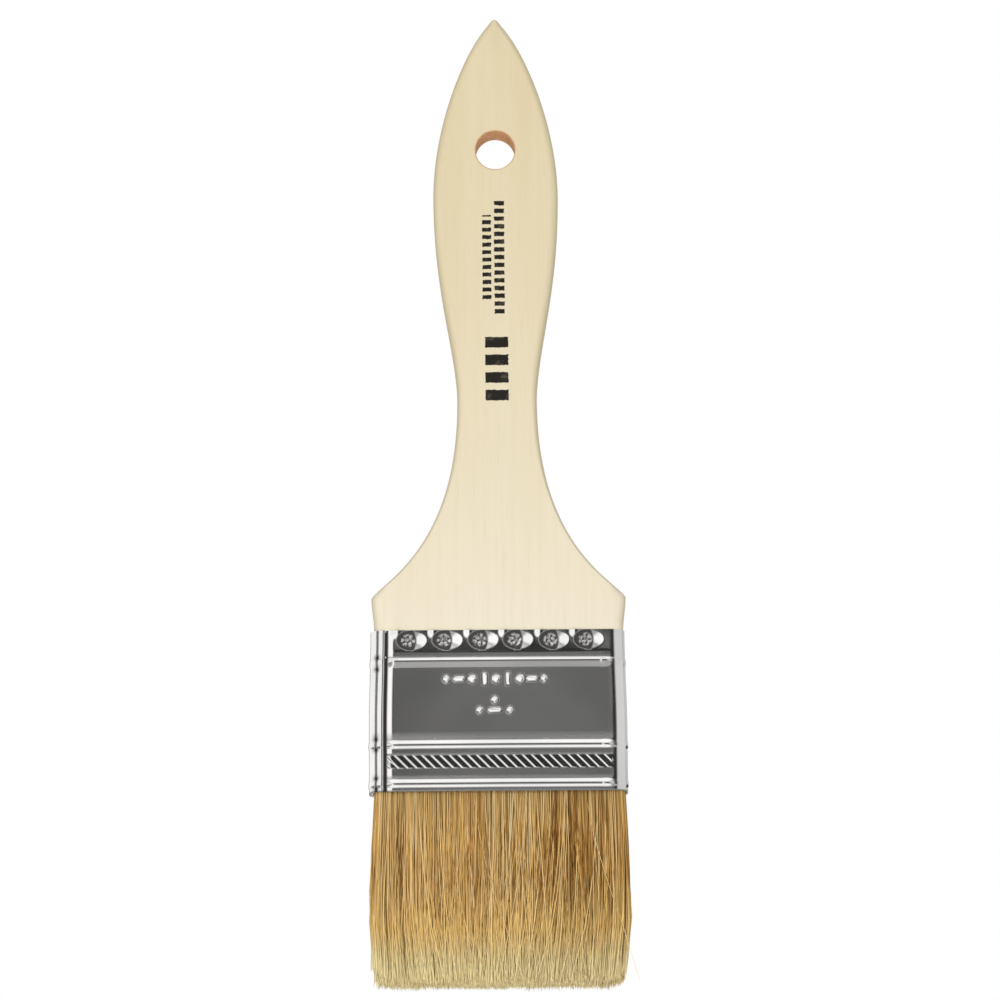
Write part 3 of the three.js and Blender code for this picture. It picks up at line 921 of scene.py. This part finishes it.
def strand_roots(random, count, side):
    """Even but jittered places of the roots of one bank, in the ferrule's mouth."""
    half_x, low_y, high_y = HEAD_HALF_WIDTH, BANK_INNER_Y, BANK_OUTER_Y
    spacing = math.sqrt(2 * half_x * (high_y - low_y) / count)
    columns = int(2 * half_x / spacing)
    rows = int(math.ceil(count / columns))
    cell = np.arange(count)
    x = ((cell % columns) + random.uniform(0.1, 0.9, count)) / columns * 2 * half_x - half_x
    y = ((cell // columns) + random.uniform(0.1, 0.9, count)) / rows * (high_y - low_y) + low_y
    corner = 2.5 * MM
    past_x = np.maximum(np.abs(x) - (half_x - corner), 0)
    past_y = np.maximum(y - (high_y - corner), 0)
    pull = np.maximum(np.hypot(past_x, past_y) / corner, 1)
    x = np.sign(x) * (np.abs(x) - past_x + past_x / pull)
    y = y - past_y + past_y / pull
    return x, side * y


def nearest_clumps(random, x, y, side):
    """The clump of each hair: its place, and what it adds to the hair's lean, end and tone."""
    count = len(x) // HAIRS_PER_CLUMP
    clump_x = random.uniform(-25.5 * MM, 25.5 * MM, count)
    clump_y = side * random.uniform(0, 4 * MM, count)
    nearest = np.argmin((x[:, None] - clump_x) ** 2 + (1.6 * (y[:, None] - clump_y)) ** 2, axis=1)
    lean = random.normal(0, 1.3, count) * MM
    drop = random.normal(0, 0.3, count) * MM
    tone = random.normal(0, 0.09, count)
    return [value[nearest] for value in (clump_x, clump_y, lean, drop, tone)]


def strand_ends(random, x, outer_hair, side, clump_lean, clump_drop):
    """Where each hair ends, how far it leans sideways and out, and whether it is a stray."""
    count = len(x)
    middle = 1 - (np.abs(x) / HEAD_HALF_WIDTH) ** 4
    inward = -2.2 * MM * np.sin(math.pi * x / HEAD_HALF_WIDTH) * random.uniform(0, 1, count)
    left_corner = np.clip((-x - 19.5 * MM) / (5.4 * MM), 0, 1)
    right_corner = np.clip((x - 21.5 * MM) / (3.6 * MM), 0, 1)
    shorter = random.exponential(0.5, count) * MM + 3.4 * MM * (left_corner**3 + right_corner**3)
    tip_z = BRISTLE_END_Z + 0.5 * MM + shorter + clump_drop + 0.8 * MM * outer_hair**3
    lean_x = (clump_lean + random.normal(0, 2.1, count) * MM) * middle + inward
    lean_y = random.normal(0, 0.5, count) * MM - side * 0.5 * MM * random.uniform(0, 1, count)
    stray = (outer_hair > 0.85) & (random.uniform(0, 1, count) < STRAY_SHARE)
    lean_x = np.where(stray, random.normal(0, 5.5, count) * MM * middle, lean_x)
    lean_y = np.where(stray, side * 0.7 * MM, lean_y)
    return tip_z, lean_x, lean_y, stray


def strand_columns(random, x, outer_hair, clump_tone, stray):
    """Each hair's column in the tones: darker inside the bank and on the right as painted shade, and
    pale for strays.
    """
    # Painted shade: darker inside the bank and on the right
    painted_shade_tone = 0.5 * (1 - outer_hair) + 0.26 * np.maximum(x, 0) / HEAD_HALF_WIDTH
    tone = np.clip(0.585 - painted_shade_tone + clump_tone + random.normal(0, 0.3, len(x)), 0, 0.92)
    tone = np.where(stray, np.maximum(tone, 0.8), tone)
    reddish = random.uniform(0, 1, len(x)) < 0.012
    return np.where(reddish, TONE_COLUMNS - 1, np.floor(tone * TONE_COLUMNS))


def strand_paths(random, count, side):
    """Points along each strand, its radius there, its tone column and the share of its length."""
    x, y = strand_roots(random, count, side)
    clump_x, clump_y, clump_lean, clump_drop, clump_tone = nearest_clumps(random, x, y, side)
    outer_hair = np.abs(y) / BANK_OUTER_Y
    tip_z, lean_x, lean_y, stray = strand_ends(random, x, outer_hair, side, clump_lean, clump_drop)
    wave = random.uniform(0, 2 * math.pi, (2, count))
    sway = random.normal(0, 0.26, (2, count)) * MM

    shares = np.array([0.0, 0.1, 0.22, 0.35, 0.48, 0.61, 0.74, 0.87, 0.985, 1.0])
    free = np.clip((shares - 0.09) / 0.91, 0, 1)
    swell = np.sin(np.minimum(free * 1.35, 1) * math.pi / 2)
    gather = 0.3 * smoothstep(0.25, 0.95, shares) * ~stray[:, None]
    wide = 1 + 0.034 * swell - 0.035 * smoothstep(0.7, 1, shares)
    thick = 1 + 0.14 * swell - 0.05 * smoothstep(0.75, 1, shares)
    path_x = x[:, None] * wide + lean_x[:, None] * free**1.4 - 0.35 * MM * free**2
    path_x += (clump_x - x)[:, None] * gather
    path_x += sway[0][:, None] * np.sin(wave[0][:, None] + 7 * free) * free
    path_y = y[:, None] * thick + lean_y[:, None] * free**1.4
    path_y += (clump_y - y)[:, None] * gather
    path_y += sway[1][:, None] * np.sin(wave[1][:, None] + 8 * free) * free
    path_z = STRAND_TOP_Z + (tip_z - STRAND_TOP_Z)[:, None] * shares
    path = np.stack([path_x, path_y, path_z], axis=-1)

    radius = random.uniform(*HAIR_RADII, count)[:, None] * (1 - 0.25 * shares**2)
    return path, radius, strand_columns(random, x, outer_hair, clump_tone, stray), shares


def strand_corners(rings):
    """Corner indices of one strand's tube: its quads, and the triangles that close its ends."""
    side = np.arange(STRAND_SIDES)
    right = (side + 1) % STRAND_SIDES
    ring = np.arange(rings - 2)[:, None] * STRAND_SIDES
    quad = [ring + STRAND_SIDES + side, ring + STRAND_SIDES + right, ring + right, ring + side]
    last = (rings - 2) * STRAND_SIDES
    tip = np.stack([np.full(STRAND_SIDES, last + STRAND_SIDES), last + right, last + side], axis=-1)
    return np.stack(quad, axis=-1).reshape(-1, 4), np.concatenate([tip, side[None, :]])


def unwrap_strands(made, column, shares):
    """A UV map for the baked texture: each strand in the column of its tone, its tip at the top."""
    edge = np.array([0.08, 0.36, 0.64, 0.92])
    quads = [
        [(edge[k], high), (edge[k + 1], high), (edge[k + 1], low), (edge[k], low)]
        for low, high in zip(shares[:-2], shares[1:-1])
        for k in range(STRAND_SIDES)
    ]
    tip = [[(0.5, 1.0), (edge[k + 1], shares[-2]), (edge[k], shares[-2])] for k in range(STRAND_SIDES)]
    root = [[(edge[0], 0.0), (edge[3], 0.0), (edge[1], 0.004)]]
    spread = np.array([1 / TONE_COLUMNS, 1.0])
    shift = np.stack([column / TONE_COLUMNS, np.zeros(len(column))], axis=-1)
    parts = [
        (np.array(corners).reshape(1, -1, 2) * spread + shift[:, None, :]).reshape(-1, 2)
        for corners in (quads, tip + root)
    ]
    layer = made.data.uv_layers.new(name="OFBake")
    layer.data.foreach_set("uv", np.concatenate(parts).astype(np.float32).ravel())


def strands(name, path, radius, column, shares):
    """Tapered tubes along the paths, closed at both ends, with their tone column in the UV map."""
    count, rings = path.shape[:2]
    turn = np.arange(STRAND_SIDES) * 2 * math.pi / STRAND_SIDES
    spin = np.random.default_rng(5).uniform(0, 2 * math.pi, count)[:, None, None] + turn
    offset = np.stack([np.cos(spin), np.sin(spin), np.zeros_like(spin)], axis=-1)
    body = path[:, :-1, None, :] + radius[:, :-1, None, None] * offset
    points = np.concatenate([body.reshape(count, -1, 3), path[:, -1:, :]], axis=1)
    quad, triangle = strand_corners(rings)
    start = np.arange(count)[:, None, None] * points.shape[1]
    quads = (quad + start).reshape(-1, 4)
    triangles = (triangle + start).reshape(-1, 3)
    made = new_object(name, points.reshape(-1, 3), quads, triangles)
    unwrap_strands(made, column, shares)
    return made


def make_bristle():
    random = np.random.default_rng(STRAND_SEED)
    material = bristle_hair()
    for name, side in (("front", -1), ("back", 1)):
        made = strands(f"bristle_hairs_{name}", *strand_paths(random, STRANDS_PER_BANK, side))
        finish_piece(made, material)
        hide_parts(f"bristle_bank_{name}")
        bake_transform(made)


# ---- The setting, which keeps its CAD shape ----


def paint_setting():
    finishes = {
        "resin_setting": resin(),
        "spacer_plug": plug_wood(),
        "bristle_roots_front": packed_roots(),
        "bristle_roots_back": packed_roots(),
    }
    for name, material in finishes.items():
        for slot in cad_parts[name].material_slots:
            slot.material = material


# ---- The stage ----


def make_camera():
    data = bpy.data.cameras.new("camera")
    data.sensor_width = 36
    data.lens = 18 * CAMERA_DISTANCE / (VIEW_WIDTH / 2)
    data.clip_start = 0.05
    data.clip_end = 20
    camera = bpy.data.objects.new("camera", data)
    bpy.context.scene.collection.objects.link(camera)
    elevation = math.radians(CAMERA_ELEVATION)
    back = Vector((0, -math.cos(elevation), math.sin(elevation)))
    camera.location = Vector(AIM) + back * CAMERA_DISTANCE
    roll = Matrix.Rotation(math.radians(CAMERA_ROLL), 3, "Z")
    camera.rotation_euler = ((-back).to_track_quat("-Z", "Y").to_matrix() @ roll).to_euler()
    bpy.context.scene.camera = camera


class World(Nodes):
    """The world's node tree."""

    def __init__(self):
        world = bpy.data.worlds.new("studio")
        bpy.context.scene.world = world
        world.use_nodes = True
        world.cycles.sampling_method = "NONE"
        super().__init__(world.node_tree)
        self.tree.nodes.clear()

    def window(self, value, low, high, soft):
        """1 where value is between low and high, and 0 outside, with soft ends."""
        rise = self.between(value, low - soft, low + soft)
        return self.product(rise, self.between(value, high + soft, high - soft))

    def blend(self, share, a, b):
        return self.node("ShaderNodeMix", {0: share, 2: a, 3: b}).outputs[0]


def studio_brightness(world):
    """What polished metal reflects in each direction: dark ahead, and softboxes all round that."""
    x, y, z = world.split(world.coordinates("Generated"))
    azimuth = world.product(world.math("ARCTAN2", x, world.product(y, -1)), 180 / math.pi)
    low, high, soft, glow = PANEL_GLOW
    ahead = world.product(world.between(azimuth, -10, 1), world.between(azimuth, 12, 1))
    low_left = world.product(world.between(azimuth, -85, -30), world.between(z, -0.1, -0.3))
    parts = [
        world.product(world.product(ahead, world.window(z, low, high, soft)), glow),
        world.product(world.between(y, 0.85, 0.98), 0.6),
        world.product(world.between(z, 0.42, 0.9), 1.35),
        world.product(world.between(z, -0.6, -0.92), 1.3),
        world.product(low_left, 0.5),
    ]
    for left, right, side_soft, bottom, top, end_soft, brightness in SOFTBOXES:
        across = world.window(azimuth, left, right, side_soft)
        up = world.window(z, bottom, top, end_soft)
        parts.append(world.product(world.product(across, up), brightness))
    total = 0.03
    for part in parts:
        total = world.math("MAXIMUM", part, total)
    return total


def make_world():
    """White behind the object, an even soft room for matt surfaces, and a studio for what shines."""
    world = World()
    rays = world.node("ShaderNodeLightPath").outputs
    brightness = world.blend(rays["Is Diffuse Ray"], studio_brightness(world), ROOM_LIGHT)
    brightness = world.blend(rays["Is Camera Ray"], brightness, 1.0)
    inputs = {"Color": (1, 1, 1, 1), "Strength": brightness}
    world.node("ShaderNodeOutputWorld", {0: world.node("ShaderNodeBackground", inputs).outputs[0]})


def make_light(name, place, size, power):
    """A soft light aimed at the middle of the brush, which doesn't show in the tinplate."""
    data = bpy.data.lights.new(name, "AREA")
    data.shape = "DISK"
    data.size = size
    data.energy = power
    light = bpy.data.objects.new(name, data)
    light.location = place
    light.rotation_euler = (Vector(AIM) - Vector(place)).to_track_quat("-Z", "Y").to_euler()
    light.visible_glossy = False
    light.visible_camera = False
    bpy.context.scene.collection.objects.link(light)


def make_floor():
    """A pale floor that fades to the white of the backdrop far away from the object."""
    half = FLOOR_HALF_WIDTH
    corners = [(-half, -half), (half, -half), (half, half), (-half, half)]
    points = np.array([(x, y, FLOOR_Z) for x, y in corners])
    floor = new_object("floor", points, np.array([[0, 1, 2, 3]]))
    pale = Shader("floor", (0.86, 0.86, 0.86), 0.9)
    glow = pale.node("ShaderNodeEmission")
    length = pale.node("ShaderNodeVectorMath", {0: pale.coordinates()}, operation="LENGTH")
    fade = pale.between(length.outputs["Value"], *FLOOR_FADE)
    inputs = {0: fade, 1: pale.shader.outputs[0], 2: glow.outputs[0]}
    mixed = pale.node("ShaderNodeMixShader", inputs)
    pale.feed(pale.tree.nodes["Material Output"].inputs["Surface"], mixed.outputs[0])
    floor.data.materials.append(pale.material)
    floor.visible_glossy = False


def make_stage():
    make_camera()
    make_world()
    make_floor()
    for light in LIGHTS:
        make_light(*light)
    bpy.context.scene.view_settings.view_transform = "Standard"


# ---- The scene ----

make_stage()
make_handle()
make_ferrule()
make_bristle()
paint_setting()

bpy.context.view_layer.update()
